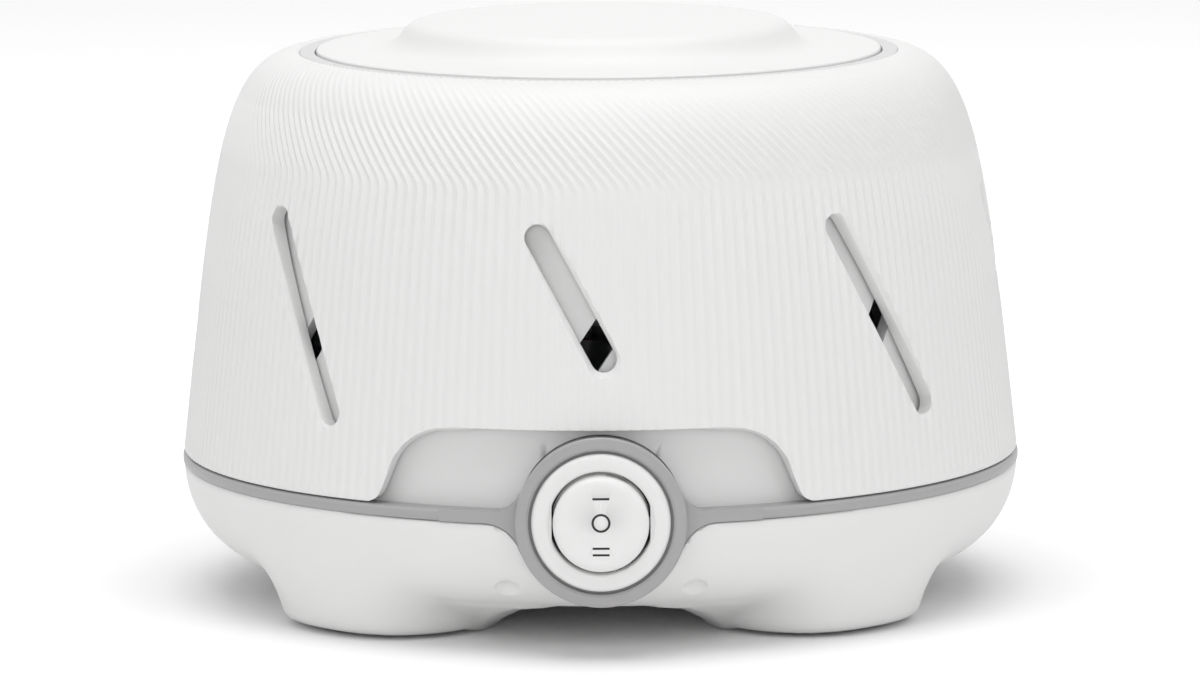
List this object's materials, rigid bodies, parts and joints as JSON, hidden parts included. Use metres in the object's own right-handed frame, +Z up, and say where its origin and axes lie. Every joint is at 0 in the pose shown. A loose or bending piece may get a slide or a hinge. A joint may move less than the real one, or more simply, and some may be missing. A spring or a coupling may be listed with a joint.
{
  "type": "white noise machine",
  "caption": "Round white noise machine with a turning ribbed and slotted collar, a wide knob on top, a round rocker switch in front and a fan inside.",
  "frame": {"origin": "the middle between the four feet, on the surface the machine stands on", "axes": "+Z up, along the line that the collar, the knob and the fan turn about; the front with the switch towards -Y"},
  "size_m": [0.1462, 0.1495, 0.1005],
  "materials": {
    "shell": "satin",
    "trim": "satin",
    "switch_white": "semi-gloss",
    "foot_rubber": "matte",
    "grommet_rubber": "matte",
    "inlet_plastic": "satin",
    "zinc_steel": "zinc plated",
    "shaft_steel": "ground",
    "pin_metal": "nickel plated",
    "stack_iron": "stacked sheets, oiled",
    "rotor_metal": "turned",
    "copper": "enamelled",
    "bronze": "sintered",
    "nylon": "natural",
    "fan_plastic": "moulded"
  },
  "bodies": {
    "base": {"base_housing": "shell", "rubber_feet": "foot_rubber", "casing_screws": "zinc_steel", "trim_ring": "trim", "inner_housing": "shell", "glide_ring": "nylon", "switch_body": "switch_white", "switch_terminals": "pin_metal", "power_inlet": "inlet_plastic", "inlet_pins": "pin_metal", "motor_plate": "zinc_steel", "plate_grommets": "grommet_rubber", "plate_screws": "zinc_steel", "motor_bolts": "zinc_steel", "motor_spacers": "zinc_steel", "motor_nuts": "zinc_steel", "stator_stack": "stack_iron", "shading_rings": "copper", "coil_bobbin": "nylon", "coil_winding": "copper", "upper_bracket": "zinc_steel", "lower_bracket": "zinc_steel", "upper_bushing": "bronze", "lower_bushing": "bronze"},
    "collar": {"collar": "shell", "collar_top_ring": "trim"},
    "dial": {"top_dial": "shell", "shutter": "nylon", "dial_washer": "zinc_steel", "dial_screw": "zinc_steel"},
    "rocker": {"switch_rocker": "switch_white"},
    "fan": {"fan_wheel": "fan_plastic", "motor_shaft": "shaft_steel", "rotor": "rotor_metal", "thrust_washers": "nylon"}
  },
  "joints": [
    {"name": "collar_turn", "type": "hinge", "parent": "base", "child": "collar", "pos_m": [0, 0, 0.05], "axis": [0, 0, 1], "range_deg": [-11.4, 14.6]},
    {"name": "dial_turn", "type": "hinge", "parent": "base", "child": "dial", "pos_m": [0, 0, 0.09], "axis": [0, 0, 1], "range_deg": [0, 30]},
    {"name": "switch_rock", "type": "hinge", "parent": "base", "child": "rocker", "pos_m": [0, -0.0724, 0.02336], "axis": [1, 0, 0], "range_deg": [-7, 7]},
    {"name": "fan_spin", "type": "hinge", "parent": "base", "child": "fan", "pos_m": [0, 0, 0.05], "axis": [0, 0, 1], "continuous": true}
  ]
}
